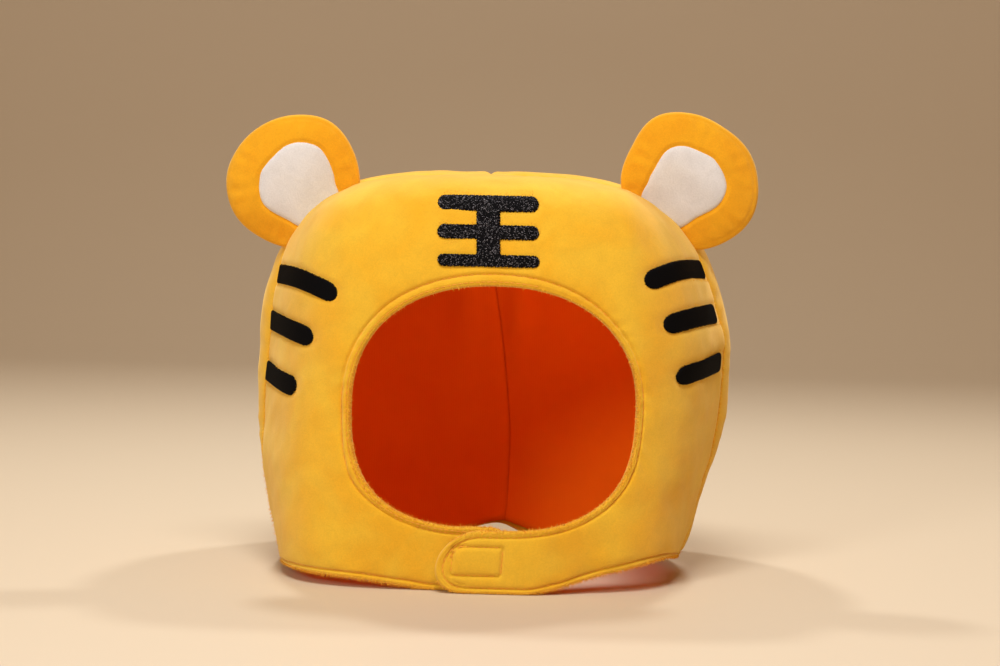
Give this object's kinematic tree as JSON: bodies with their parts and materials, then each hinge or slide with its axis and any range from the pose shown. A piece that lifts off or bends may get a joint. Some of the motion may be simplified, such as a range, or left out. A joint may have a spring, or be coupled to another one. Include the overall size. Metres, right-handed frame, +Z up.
{
  "type": "tiger hat",
  "caption": "Padded plush tiger hood with an open face, round ears, striped cheeks, a brow mark and a chin tab that fastens under the chin; stands on its hem.",
  "frame": {"origin": "middle of the hood's overall box, on the plane it rests on", "axes": "+X to the right for someone who faces the face opening, -Y out of the face opening, +Z up"},
  "size_m": [0.2988, 0.2278, 0.2596],
  "materials": {
    "plush_gold": "short golden yellow polyester plush over thin wadding",
    "plush_amber": "short amber polyester plush",
    "velboa_white": "matt white short pile",
    "knit_orange": "smooth orange warp knit",
    "thread_black": "black embroidery thread, with a fine glitter in the brow mark",
    "hook_tape": "woven hook and loop tape, hidden"
  },
  "bodies": {
    "root": {"front_panel": "plush_gold", "back_panel_left": "plush_gold", "back_panel_right": "plush_gold", "lining_front": "knit_orange", "lining_back_left": "knit_orange", "lining_back_right": "knit_orange", "ear_left": "plush_amber", "ear_right": "plush_amber", "ear_inner_left": "velboa_white", "ear_inner_right": "velboa_white", "stripe_left_1": "thread_black", "stripe_left_2": "thread_black", "stripe_left_3": "thread_black", "stripe_right_1": "thread_black", "stripe_right_2": "thread_black", "stripe_right_3": "thread_black", "brow_mark": "thread_black", "hook_loop_patch": "hook_tape"}
  },
  "joints": []
}
